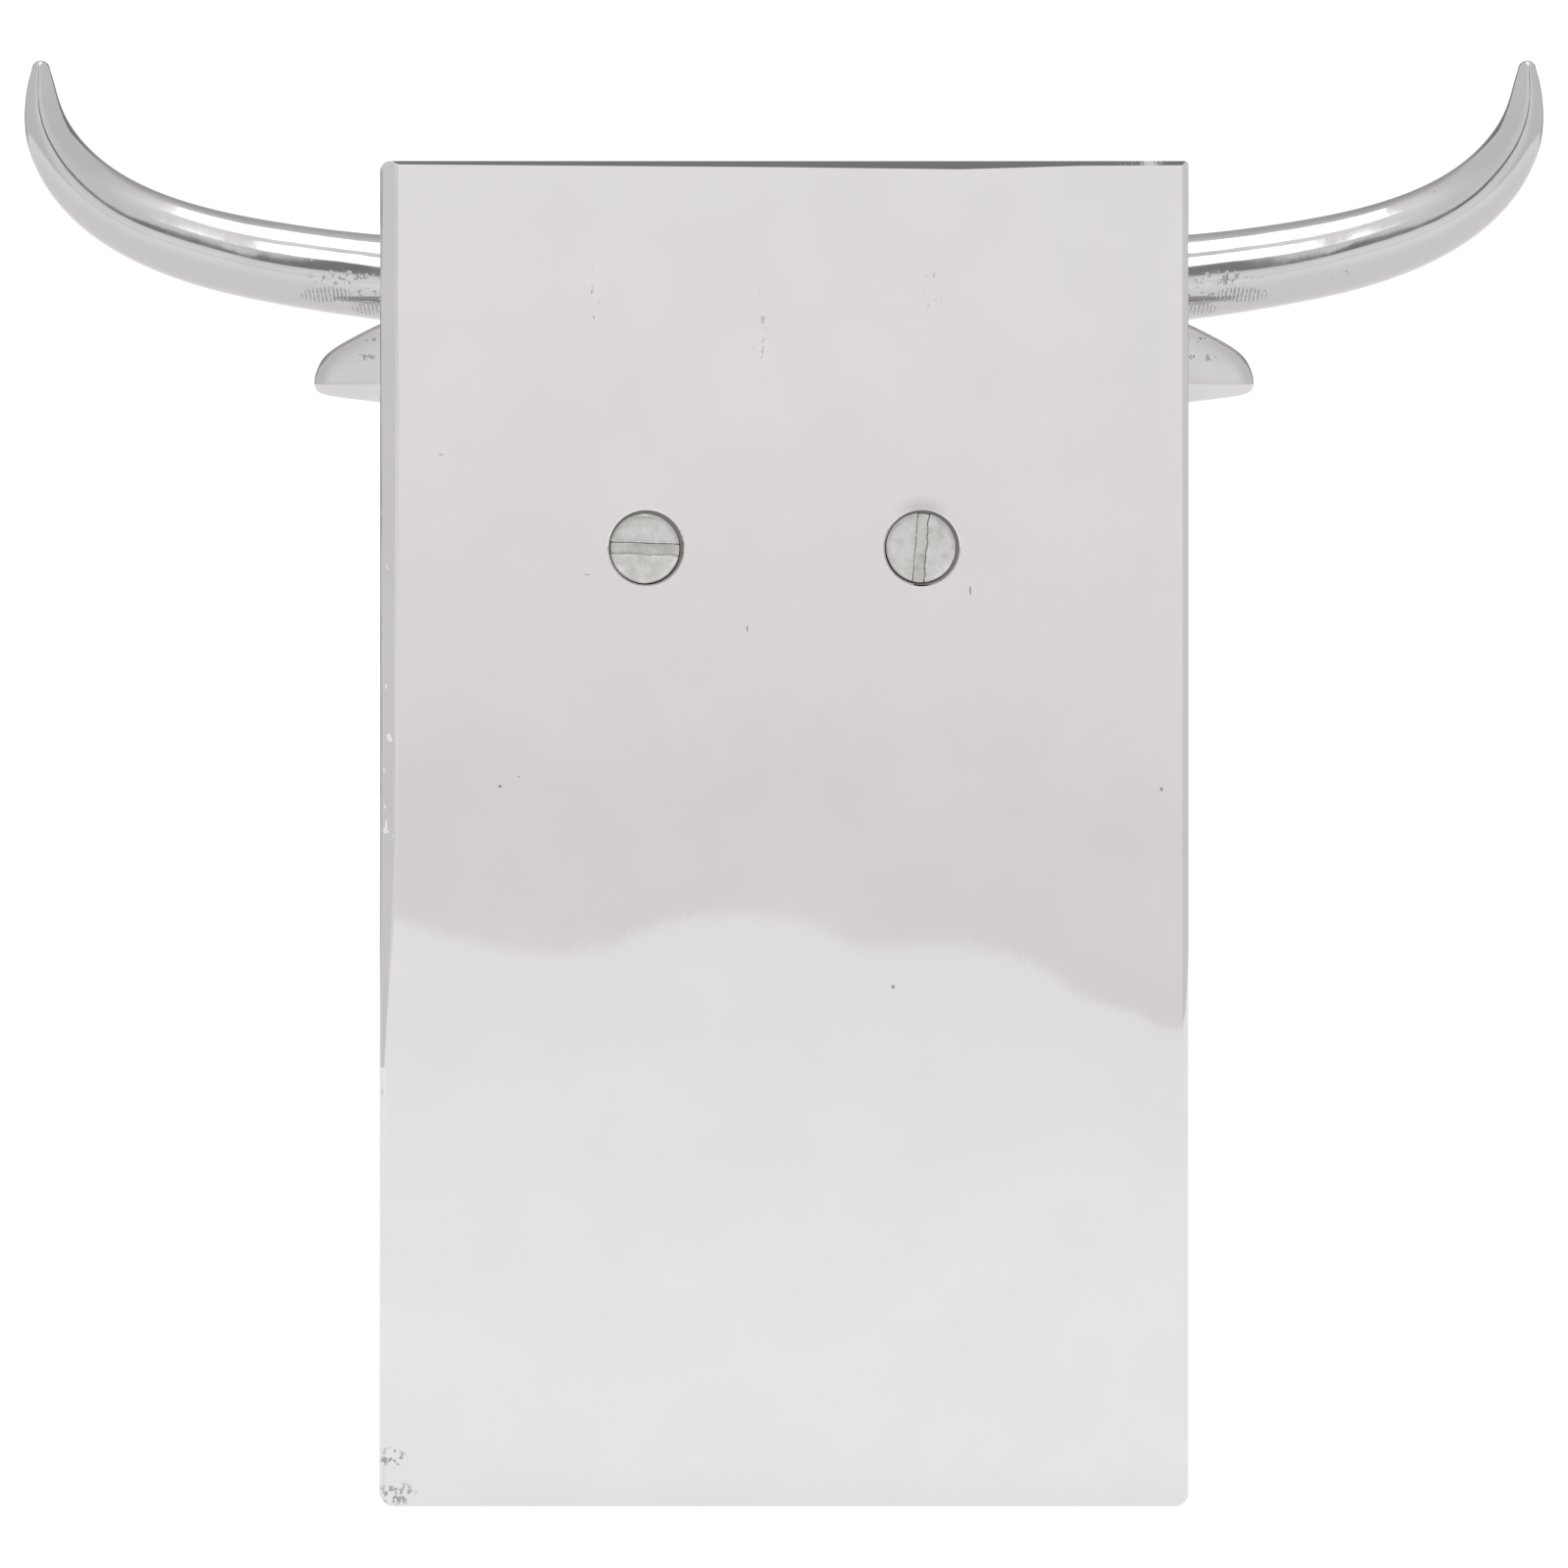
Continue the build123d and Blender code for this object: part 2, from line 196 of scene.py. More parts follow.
def brushed_aluminium():
    """The upright and foot: brushed up and down, a little wavy, with pits left from the casting."""
    made, n = material("brushed_casting")
    place = n.add("ShaderNodeNewGeometry").outputs["Position"]
    split = n.add("ShaderNodeSeparateXYZ", {0: place})
    mottle = n.noise(place, 70.0, 4.0)
    # The face tilts up or down by a few thousandths across its width, most of all near the -X side
    across = n.add("ShaderNodeMapRange", {
        "Value": split.outputs["X"], "From Min": plate_high.x, "From Max": plate_low.x,
    }).outputs["Result"]
    tilt = n.curve(
        across, (0.0, 0.28), (0.09, 0.43), (0.26, 0.475), (0.35, 0.375), (0.46, 0.395), (0.53, 0.425),
        (0.61, 0.54), (0.72, 0.56), (0.80, 0.61), (0.87, 0.78), (0.94, 0.90), (0.985, 1.0), (1.0, 0.8),
    )
    tilt = n.math("SUBTRACT", tilt, 0.5)
    drop = n.math("DIVIDE", n.math("SUBTRACT", split.outputs["Z"], EDGE_LEVEL * MM), EDGE_SOFTNESS * MM)
    leaning = n.math("MULTIPLY", n.math("MULTIPLY", n.math("TANH", drop), -1.0), tilt)
    normal = n.bump(leaning, EDGE_SOFTNESS * MM * FACE_TILT)
    normal = n.bump(n.noise(place, 22.0, 1.0), 0.00007, normal)
    normal = n.bump(n.noise(n.stretched(place, (1.0, 1.0, 0.3)), 130.0, 2.0), 0.000002, normal)
    grain = n.noise(n.stretched(place, (1.0, 1.0, 0.015)), 2400.0, 2.0)
    normal = n.bump(grain, 0.0000025, normal)
    # Pits
    fine = n.noise(n.stretched(place, (1.0, 1.0, 0.55)), 1500.0, 1.0)
    coarse = n.noise(place, 1300.0, 2.0)
    pits = []
    for x, z, wide, tall in STREAKED_PITS:
        near = n.patch(place, (x, BOOK_FACE / MM, z), (wide, 2.0, tall), 0.9)
        pits.append(n.math("MULTIPLY", near, n.span(fine, 0.60, 0.72, 0.0, 0.75)))
    for x, z, wide, tall in CORNER_PITS:
        near = n.patch(place, (x, BOOK_FACE / MM, z), (wide, 3.0, tall), 0.6)
        pits.append(n.math("MULTIPLY", near, n.span(coarse, 0.52, 0.60)))
    for x, z, wide, tall in SPECKS + SCRATCHES:
        pits.append(n.patch(place, (x, BOOK_FACE / MM, z), (wide, 2.0, tall), 0.5))
    pit = n.math("MINIMUM", n.total(*pits), 1.0)
    normal = n.bump(n.math("SUBTRACT", 1.0, pit), 0.00006, normal)
    tone = n.blend(n.span(mottle, 0.35, 0.7), ALUMINIUM_DULL, ALUMINIUM)
    # Painted shade standing in for a shallow dish over the right-hand screw's hole
    dish_shade = n.patch(place, (SCREW_X[1], BOOK_FACE / MM, SCREW_Z + 5.2), (4.6, 2.0, 2.6), 0.9)
    tone = n.blend(n.math("MULTIPLY", dish_shade, 0.28), tone, PIT_AND_SHADE_GREY)
    tone = n.blend(n.math("MULTIPLY", pit, 0.7), tone, PIT_AND_SHADE_GREY)
    # Painted shade down the sides of the two screw holes
    depth = n.span(split.outputs["Y"], BOOK_FACE - 0.9 * MM, BOOK_FACE - 0.25 * MM, 1.0, 0.0)
    holes = [n.patch(place, (x, BOOK_FACE / MM - 2.0, SCREW_Z), (6.0, 40.0, 6.0), 0.1) for x in SCREW_X]
    tone = n.blend(n.math("MULTIPLY", n.math("MULTIPLY", n.total(*holes), depth), 0.85), tone, HOLE_SHADE)
    rough = n.span(mottle, 0.3, 0.75, 0.016, 0.030)
    n.metal(Base_Color=tone, Roughness=rough, Normal=normal)
    return made


def polished_aluminium():
    """The head, horns and ears: buffed, with soft ripples and a few casting pits."""
    made, n = material("polished_casting")
    surface = n.add("ShaderNodeNewGeometry")
    place = surface.outputs["Position"]
    split = n.add("ShaderNodeSeparateXYZ", {0: place})
    side = n.math("ABSOLUTE", split.outputs["X"])
    folded = n.add("ShaderNodeCombineXYZ", {0: side, 1: split.outputs["Y"], 2: split.outputs["Z"]}).outputs[0]
    ripple = n.noise(place, 75.0, 2.0)
    normal = n.bump(ripple, 0.00016)
    normal = n.bump(n.noise(place, 600.0, 2.0), 0.000006, normal)
    # File marks and pits on the horn's root, and pits at the ear's root
    slant = n.total(side, n.math("MULTIPLY", split.outputs["Z"], FILE_MARK_SLANT))
    comb = n.math("SINE", n.math("MULTIPLY", slant, 2 * math.pi / (FILE_MARK_PITCH * MM)))
    comb = n.math("ADD", comb, n.span(n.noise(place, 1800.0, 1.0), 0.3, 0.7, -0.6, 0.5))
    horn_back, ear_back = FRONT_FACE / MM - 18.0, FRONT_FACE / MM - 10.0
    filed = n.total(
        n.patch(folded, (66.0, horn_back, 172.6), (4.4, 5.0, 1.3), 0.4),
        n.patch(folded, (60.2, horn_back, 170.6), (2.6, 5.0, 1.2), 0.4),
    )
    marks = n.math("MULTIPLY", filed, n.span(comb, 0.1, 0.9))
    holes = n.span(n.noise(place, 1250.0, 2.0), 0.56, 0.64)
    pitted = n.total(
        n.patch(folded, (64.0, horn_back, 174.9), (7.0, 5.0, 1.3), 0.7),
        n.patch(folded, (59.6, horn_back, 172.6), (3.2, 5.0, 1.3), 0.6),
        n.patch(folded, (60.0, ear_back, 163.2), (3.0, 3.0, 0.7), 0.6),
        n.patch(folded, (59.5, ear_back, 165.8), (2.0, 3.0, 0.6), 0.6),
    )
    rare = n.math("MULTIPLY", n.span(n.noise(place, 1100.0, 1.0), 0.775, 0.80), 0.7)
    worn = n.total(n.math("MULTIPLY", pitted, holes), n.math("MULTIPLY", marks, 0.8), rare)
    pit = n.math("MINIMUM", worn, 1.0)
    normal = n.bump(n.math("SUBTRACT", 1.0, pit), 0.00008, normal)
    tone = n.blend(n.span(ripple, 0.35, 0.65), POLISHED_DULL, POLISHED)
    # Painted shade: the downward-facing sides of the horns are darker than the rest
    facing = n.add("ShaderNodeSeparateXYZ", {0: surface.outputs["Normal"]})
    under = n.span(facing.outputs["Z"], -0.35, 0.05, 1.0, 0.0)
    on_horn = n.span(split.outputs["Z"], UNDERSIDE_SHADE_FROM * MM, UNDERSIDE_SHADE_FULL * MM)
    tone = n.blend(n.math("MULTIPLY", under, on_horn), tone, HORN_UNDERSIDE_SHADE)
    tone = n.blend(n.math("MULTIPLY", pit, 0.55), tone, PIT_AND_SHADE_GREY)
    rough = n.span(n.noise(place, 160.0, 4.0), 0.3, 0.7, 0.07, 0.13)
    n.metal(Base_Color=tone, Roughness=rough, Normal=normal)
    return made


def stained_steel():
    """The screws: dull plated steel with faint brown stains."""
    made, n = material("screw_steel")
    place = n.add("ShaderNodeNewGeometry").outputs["Position"]
    blotch = n.noise(place, 620.0, 4.0, 0.6)
    stain = n.span(n.noise(place, 1400.0, 3.0, 0.7), 0.60, 0.76)
    tone = n.ramp(blotch, (0.32, STEEL_DARK), (0.5, STEEL_MIDDLE), (0.68, STEEL_LIGHT))
    tone = n.blend(n.math("MULTIPLY", stain, 0.55), tone, STEEL_STAIN)
    split = n.add("ShaderNodeSeparateXYZ", {0: place})
    # Painted shade: darker the deeper it lies in the slot
    slot_shade = n.span(split.outputs["Y"], BOOK_FACE - 2.0 * MM, BOOK_FACE - 0.5 * MM, 0.12, 0.0)
    tone = n.blend(slot_shade, tone, SLOT_SHADE_COLOUR)
    rough = n.span(blotch, 0.3, 0.7, 0.34, 0.22)
    normal = n.bump(n.noise(place, 700.0, 3.0), 0.00003)
    n.metal(Base_Color=tone, Roughness=rough, Normal=normal)
    return made


def dress(obj, finish):
    obj.data.materials.clear()
    obj.data.materials.append(finish)


def screw_x(name):
    low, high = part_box(name)
    return (low.x + high.x) / 2 / MM


SCREW_NAMES = ("left_screw", "right_screw")
SCREW_X = [screw_x(name) for name in SCREW_NAMES]
SCREW_Z = (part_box("right_screw")[0].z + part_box("right_screw")[1].z) / 2 / MM
casting = brushed_aluminium()
polish = polished_aluminium()
steel = stained_steel()
dress(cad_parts["frame_casting"], casting)


# ---------------------------------------------------------------- pieces

def new_piece(name, points, faces, node, finish):
    """A smooth closed mesh that rides the bookend and stands for one CAD node."""
    mesh = bpy.data.meshes.new(name)
    mesh.from_pydata([tuple(p) for p in points], [], [tuple(f) for f in faces])
    work = bmesh.new()
    work.from_mesh(mesh)
    bmesh.ops.recalc_face_normals(work, faces=work.faces)
    for face in work.faces:
        face.smooth = True
    work.to_mesh(mesh)
    work.free()
    piece = bpy.data.objects.new(name, mesh)
    scene.collection.objects.link(piece)
    mesh.materials.append(finish)
    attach(piece, "root")
    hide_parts(node)
    return piece


def spline(knots, values, first, last):
    """Cubic through the values at the knots, with the slopes given at both ends, as a function."""
    knots, values = np.array(knots, float), np.array(values, float)
    steps = np.diff(knots)
    rises = np.diff(values, axis=0) / steps.reshape((-1,) + (1,) * (values.ndim - 1))
    system = np.eye(len(knots))
    target = values * 0.0
    target[0], target[-1] = first, last
    for i in range(1, len(knots) - 1):
        system[i, i - 1:i + 2] = steps[i], 2 * (steps[i - 1] + steps[i]), steps[i - 1]
        target[i] = 3 * (steps[i] * rises[i - 1] + steps[i - 1] * rises[i])
    slopes = np.linalg.solve(system, target)

    def at(t):
        i = min(max(int(np.searchsorted(knots, t)) - 1, 0), len(steps) - 1)
        u = (t - knots[i]) / steps[i]
        return (
            values[i] * (1 + 2 * u) * (1 - u) ** 2 + values[i + 1] * u * u * (3 - 2 * u)
            + steps[i] * (slopes[i] * u * (1 - u) ** 2 + slopes[i + 1] * u * u * (u - 1))
        )

    return at


def tube(rings):
    """Points and faces of a closed skin over rings of the same number of points, with capped ends."""
    count = len(rings[0])
    points = [p for ring in rings for p in ring]
    faces = []
    for r in range(len(rings) - 1):
        for i in range(count):
            j = (i + 1) % count
            faces.append((r * count + i, r * count + j, (r + 1) * count + j, (r + 1) * count + i))
    for ring, base in ((rings[0], 0), (rings[-1], (len(rings) - 1) * count)):
        points.append(np.mean(ring, axis=0))
        faces += [(base + i, base + (i + 1) % count, len(points) - 1) for i in range(count)]
    return points, faces


# ---------------------------------------------------------------- horns

# The horn's middle line: x, distance forward of the upright's front face, height, millimetres
HORN_LINE = [
    (33.5, 24.0, 173.0), (58.5, 23.4, 175.4), (85.5, 22.6, 180.2),
    (100.3, 22.4, 187.7), (106.75, 22.2, 197.5), (107.45, 21.6, 205.3),
]
# Radius by share of the horn's length, millimetres
HORN_RADII = [
    (0.0, 7.6), (0.15, 6.8), (0.3, 6.2), (0.5, 5.8), (0.65, 5.4),
    (0.78, 4.7), (0.88, 3.6), (0.95, 2.4), (1.0, 1.3),
]
# The horn's section leans: its upper side stands back from the book side by this share of its height
HORN_LEAN = 0.18
ROOT_HEADING = (1.0, 0.0, 0.08)
TIP_HEADING = (0.0, -0.08, 1.0)
# How fast the radius changes at the root and at the tip, per length of the horn
ROOT_NARROWING, TIP_NARROWING = -6.0, -30.0
HORN_RINGS = 150
HORN_SIDES = 64
TIP_RINGS = 8


def make_horn(name, side, node):
    line = np.array(HORN_LINE)
    spacing = np.linalg.norm(np.diff(line, axis=0), axis=1)
    knots = np.concatenate([[0.0], np.cumsum(spacing)]) / spacing.sum()
    start = np.array(ROOT_HEADING) * spacing.sum()
    end = np.array(TIP_HEADING) * spacing.sum()
    middle = spline(knots, line, start, end)
    radius = spline(*zip(*HORN_RADII), ROOT_NARROWING, TIP_NARROWING)
    tip_radius = HORN_RADII[-1][1]
    # Rings as share of the length, radius, and distance past the end of the line
    stations = [(t, radius(t), 0.0) for t in np.linspace(0.0, 1.0, HORN_RINGS)]
    for i in range(1, TIP_RINGS):
        turn = math.pi / 2 * i / TIP_RINGS
        stations.append((1.0, tip_radius * math.cos(turn), tip_radius * math.sin(turn)))
    rings = []
    for t, wide, onward in stations:
        here = middle(t)
        heading = middle(min(t + 0.002, 1.0)) - middle(max(t - 0.002, 0.0))
        heading /= np.linalg.norm(heading)
        backward = np.array((0.0, -1.0, 0.0))
        backward -= heading * backward.dot(heading)
        backward /= np.linalg.norm(backward)
        inward = np.cross(backward, heading)
        ring = []
        for i in range(HORN_SIDES):
            turn = 2 * math.pi * i / HORN_SIDES
            # Hand-dressed: barely out of round, by an amount that drifts along the horn
            uneven = 1 + 0.008 * math.sin(2 * turn + 9 * t) + 0.005 * math.sin(3 * turn - 23 * t + 1)
            lean = math.cos(turn) - HORN_LEAN * math.sin(turn)
            out = (backward * lean + inward * math.sin(turn)) * wide * uneven
            x, f, z = here + heading * onward + out
            ring.append((side * x * MM, FRONT_FACE - f * MM, z * MM))
        rings.append(ring)
    points, faces = tube(rings)
    tip_x, tip_f, tip_z = middle(1.0) + heading * tip_radius
    points[-1] = (side * tip_x * MM, FRONT_FACE - tip_f * MM, tip_z * MM)
    return new_piece(name, points, faces, node, polish)


# ---------------------------------------------------------------- ears

# Along the ear: x, height of its top, crease and bottom edges, and share of its full thickness, millimetres
EAR_STATIONS = [
    (32.5, 166.4, 159.2, 158.2, 0.9), (39.0, 169.8, 158.6, 156.5, 1.0), (46.0, 171.2, 158.3, 155.5, 1.0),
    (52.0, 170.5, 158.2, 156.0, 1.0), (58.3, 168.1, 158.4, 156.8, 1.0), (62.6, 165.9, 158.6, 157.3, 0.95),
    (65.4, 164.2, 158.8, 157.7, 0.85), (66.7, 162.6, 159.0, 158.1, 0.75), (67.4, 160.7, 159.4, 158.6, 0.6),
]
# How far the ear's middle stands forward of the upright's front face, millimetres
EAR_MIDDLE = 12.5
# Sharpness of the ear's long edges, by their place in the profile
EAR_CREASES = {0: 0.75, 3: 0.4, 9: 0.45}


def make_ear(name, side, node):
    rings = []
    for x, top, crease, bottom, share in EAR_STATIONS:
        belly = (top + bottom) / 2
        profile = [
            (-2.9, crease), (-2.9, top - 1.9), (-2.1, top - 0.5), (0.0, top), (2.3, top - 0.7),
            (2.9, top - 2.2), (0.6, belly), (2.6, bottom + 1.7), (1.4, bottom + 0.1), (-0.6, bottom),
        ]
        forward = [EAR_MIDDLE + f * share for f, z in profile]
        rings.append([
            (side * x * MM, FRONT_FACE - f * MM, z * MM) for f, (_, z) in zip(forward, profile)
        ])
    points, faces = tube(rings)
    ear = new_piece(name, points, faces, node, polish)
    work = bmesh.new()
    work.from_mesh(ear.data)
    sharpness = work.edges.layers.float.new("crease_edge")
    count = len(rings[0])
    for edge in work.edges:
        a, b = (v.index for v in edge.verts)
        if max(a, b) < count * len(rings) and a % count == b % count:
            edge[sharpness] = EAR_CREASES.get(a % count, 0.0)
    work.to_mesh(ear.data)
    work.free()
    rounding = ear.modifiers.new("rounding", "SUBSURF")
    rounding.levels = rounding.render_levels = 3
    return ear


# ---------------------------------------------------------------- bull's head

# The head is one solid built from blended shapes, given in millimetres: x to the side, f forward of
# the upright's front face, z above the shelf. Only the +X half is described; the other is its mirror.
GRID = 0.8
HEAD_REACH = 78.0
HEAD_BOTTOM, HEAD_TOP = 42.0, 196.0
HEAD_HALF = 42.0


def ellipsoid(p, centre, radii):
    scaled = [(a - c) / r for a, c, r in zip(p, centre, radii)]
    near = np.sqrt(sum(a * a for a in scaled)) + 1e-9
    steep = np.sqrt(sum((a / r) ** 2 for a, r in zip(scaled, radii))) + 1e-9
    return near * (near - 1.0) / steep


def taper(p, start, end, start_radius, end_radius, flatten=1.0):
    """A rounded cone from start to end; flatten over 1 narrows it sideways."""
    start, end = np.array(start, float), np.array(end, float)
    along = end - start
    q = [(p[0] - start[0]) * flatten, p[1] - start[1], p[2] - start[2]]
    share = sum(a * b for a, b in zip(q, along)) / along.dot(along)
    share = np.clip(share, 0.0, 1.0)
    gap = np.sqrt(sum((a - share * b) ** 2 for a, b in zip(q, along)))
    return gap - (start_radius + (end_radius - start_radius) * share)


def join(a, b, soft):
    """Union of two solids with a fillet of about that size."""
    share = np.clip(0.5 + 0.5 * (b - a) / soft, 0.0, 1.0)
    return b + (a - b) * share - soft * share * (1.0 - share)


def cut(a, b, soft):
    """The first solid less the second, with a softened edge."""
    return -join(-a, b, soft)


def chain(p, places, radii):
    """Rounded cones joined end to end through the places."""
    parts = [taper(p, *places[i:i + 2], *radii[i:i + 2]) for i in range(len(places) - 1)]
    return np.minimum.reduce(parts)


# Locks of the forelock: x at the poll, x and z at the tip, and thickness
LOCKS = [(0.0, 1.4, 148.0, 3.7), (4.7, 6.6, 152.0, 3.5), (9.2, 12.6, 154.5, 3.3), (13.6, 18.6, 159.5, 3.1)]
POLL_LEVEL = 158.0


def forehead(x, z):
    """How far forward the forehead stands there."""
    if z > POLL_LEVEL:
        return 24.0 + math.sqrt(max(25.0 ** 2 - (0.86 * x) ** 2 - (z - POLL_LEVEL) ** 2, 0.0))
    return 24.0 + 0.33 * (POLL_LEVEL - z) + math.sqrt(25.0 ** 2 - (0.86 * x) ** 2)


def head_field(x, f, z):
    p = (np.abs(x), f, z)
    skull = ellipsoid(p, (0, 18, 160), (30, 25, 26))
    skull = join(skull, taper(p, (0, 25, 158), (0, 42, 106), 25, 18, 0.86), 12)
    skull = join(skull, taper(p, (0, 40, 112), (0, 53, 78), 18, 15.5, 0.92), 12)
    # Neck against the upright, jaw and cheeks
    skull = join(skull, ellipsoid(p, (0, -4, 143), (31, 34, 41)), 10)
    skull = join(skull, taper(p, (0, 14, 128), (0, 44, 66), 20, 11, 0.95), 10)
    skull = join(skull, ellipsoid(p, (16, 24, 128), (13, 17, 25)), 12)
    # Muzzle and lower lip
    muzzle = ellipsoid(p, (0, 56, 69), (23, 15.5, 15))
    muzzle = join(muzzle, ellipsoid(p, (13, 62, 71), (9.5, 9, 10)), 6)
    skull = join(skull, muzzle, 9)
    skull = join(skull, ellipsoid(p, (0, 52, 56), (16, 12.5, 7.5)), 4)
    # Ridge of the nose
    skull = join(skull, taper(p, (0, 45, 146), (0, 62, 86), 9.0, 7.5), 10)
    # Brow, eye socket, eye and lids
    skull = join(skull, ellipsoid(p, (21, 37, 159), (11, 7, 5.5)), 7)
    skull = cut(skull, ellipsoid(p, (30, 42, 149.5), (8.5, 7.5, 6.5)), 3.5)
    skull = join(skull, ellipsoid(p, (25.8, 36.3, 149.6), (5.6, 5.6, 5.4)), 0.8)
    corners = ((20.0, 43.2, 151.5), (31.6, 32.6, 149.0))
    upper = chain(p, (corners[0], (26.4, 40.8, 155.0), corners[1]), (0.9, 1.7, 0.9))
    lower = chain(p, (corners[0], (26.2, 40.2, 144.6), corners[1]), (0.8, 1.4, 0.8))
    skull = join(skull, join(upper, lower, 0.6), 1.2)
    # Nostril with a raised rim
    skull = cut(skull, ellipsoid(p, (13.5, 71.5, 73.0), (4.2, 6.0, 5.2)), 2.0)
    skull = cut(skull, ellipsoid(p, (18.5, 68.0, 70.5), (4.5, 5.0, 2.4)), 2.0)
    # Mouth line, rising towards the cheek
    lip = np.abs(z - (60.0 + 0.10 * (66.0 - f))) - 0.55
    open_mouth = np.maximum(np.maximum(lip, -(skull + 2.0)), 40.0 - f)
    skull = cut(skull, open_mouth, 0.9)
    # Collars round the horn and the ear
    skull = join(skull, taper(p, (14.0, 23.0, 171.5), (33.0, 24.0, 173.0), 12.0, 8.8), 6)
    skull = join(skull, ellipsoid(p, (28, 12.5, 162.7), (8, 5.0, 6.5)), 5)
    # Poll, and the forelock that falls from it over the forehead
    skull = join(skull, ellipsoid(p, (0, 24, 177), (20, 15, 10)), 7)
    for poll_x, tip_x, tip_z, thick in LOCKS:
        bend = 1.6 if poll_x else 0.9
        line = [
            (poll_x, 182.0), (poll_x, 175.0), (poll_x + bend, 168.0),
            (tip_x - bend * 0.6, (166.0 + tip_z) / 2), (tip_x, tip_z),
        ]
        places = [(a, forehead(a, b), b) for a, b in line]
        skull = join(skull, chain(p, places, (thick * 0.7, thick, thick, thick * 0.8, 0.8)), 1.0)
    return skull


def surface(field, origin, step):
    """Closed quad mesh of the zero level of a sampled field: one vertex in each crossed cell."""
    solid = field < 0.0
    count = np.zeros(tuple(n - 1 for n in field.shape))
    total = np.zeros((3,) + count.shape)
    corners = [(i, j, k) for i in (0, 1) for j in (0, 1) for k in (0, 1)]

    def at(array, c):
        return array[tuple(slice(o, o + n - 1) for o, n in zip(c, array.shape))]

    for a in corners:
        for axis in range(3):
            if a[axis]:
                continue
            b = tuple(v + (i == axis) for i, v in enumerate(a))
            va, vb = at(field, a), at(field, b)
            crossed = at(solid, a) != at(solid, b)
            share = np.where(crossed, va / np.where(crossed, va - vb, 1.0), 0.0)
            count += crossed
            for i in range(3):
                total[i] += crossed * (a[i] + (share if i == axis else 0.0))
    used = count > 0
    number = -np.ones(count.shape, int)
    number[used] = np.arange(used.sum())
    cells = np.argwhere(used)
    points = origin + step * (cells + (total[:, used] / count[used]).T)
    faces = []
    for axis in range(3):
        u, v = (axis + 1) % 3, (axis + 2) % 3
        low = [slice(None)] * 3
        high = [slice(None)] * 3
        low[axis], high[axis] = slice(0, -1), slice(1, None)
        crossing = np.argwhere(solid[tuple(low)] != solid[tuple(high)])
        crossing = crossing[(crossing[:, u] > 0) & (crossing[:, v] > 0)]
        crossing = crossing[(crossing[:, u] < count.shape[u]) & (crossing[:, v] < count.shape[v])]
        around = []
        for du, dv in ((0, 0), (-1, 0), (-1, -1), (0, -1)):
            cell = crossing.copy()
            cell[:, u] += du
            cell[:, v] += dv
            around.append(number[tuple(cell.T)])
        quads = np.stack(around, 1)
        outward = solid[tuple(crossing.T)]
        quads[~outward] = quads[~outward][:, ::-1]
        faces.append(quads)
    return points, np.concatenate(faces)


def make_head():
    xs = np.arange(-HEAD_HALF, HEAD_HALF + GRID, GRID)
    fs = np.arange(-2.0, HEAD_REACH, GRID)
    zs = np.arange(HEAD_BOTTOM, HEAD_TOP, GRID)
    x, f, z = np.meshgrid(xs, fs, zs, indexing="ij")
    field = np.maximum(head_field(x, f, z), -f)
    points, faces = surface(field, np.array([xs[0], fs[0], zs[0]]), GRID)
    place = np.stack([points[:, 0] * MM, FRONT_FACE - points[:, 1] * MM, points[:, 2] * MM], 1)
    head = new_piece("head_casting", place, faces, "bull_head", polish)
    ease = head.modifiers.new("ease", "SMOOTH")
    ease.factor, ease.iterations = 0.5, 6
    return head


# ---------------------------------------------------------------- screws

SCREW_GRID = 0.08
SCREW_HEAD_RADIUS = 5.0
SCREW_HEAD_HEIGHT = 3.9
SCREW_RADIUS = 3.0
THREAD_PITCH = 1.0
THREAD_DEPTH = 0.3
SHANK_SIDES = 40
SHANK_STEP = 0.25
SHANK_BURIED = 0.3
SLOT_HALF_WIDTH = 0.8
SLOT_FLOOR = 1.95
RIM_SLOPE = 0.5
RIM_WIDTH = 0.55
# Degrees that each slot stands from level, seen from the book side
SLOT_TURNS = {"left_screw": -2.0, "right_screw": 85.5}


def screw_head_field(along, across, up):
    """A worn cheese head: bevelled rim, and a slot with bruised edges raised into a burr."""
    reach = np.sqrt(along ** 2 + across ** 2)
    wander = 0.07 * np.sin(1.3 * along + 0.6) + 0.05 * np.sin(3.1 * along)
    chatter = 0.5 + 0.5 * np.sin(2.3 * along + 1.0) * np.sin(5.2 * along)
    burr = 0.06 * chatter * np.exp(-((np.abs(across) - SLOT_HALF_WIDTH - 0.18) / 0.16) ** 2)
    top = up - SCREW_HEAD_HEIGHT - burr
    rim = up - SCREW_HEAD_HEIGHT + RIM_SLOPE * (reach - SCREW_HEAD_RADIUS + RIM_WIDTH)
    solid = cut(cut(reach - SCREW_HEAD_RADIUS, -top, 0.12), -rim / math.hypot(1.0, RIM_SLOPE), 0.12)
    solid = np.maximum(solid, -up)
    slot = np.maximum(np.abs(across + wander * 0.5) - SLOT_HALF_WIDTH - wander * 0.4, SLOT_FLOOR - up)
    return cut(solid, slot, 0.16)


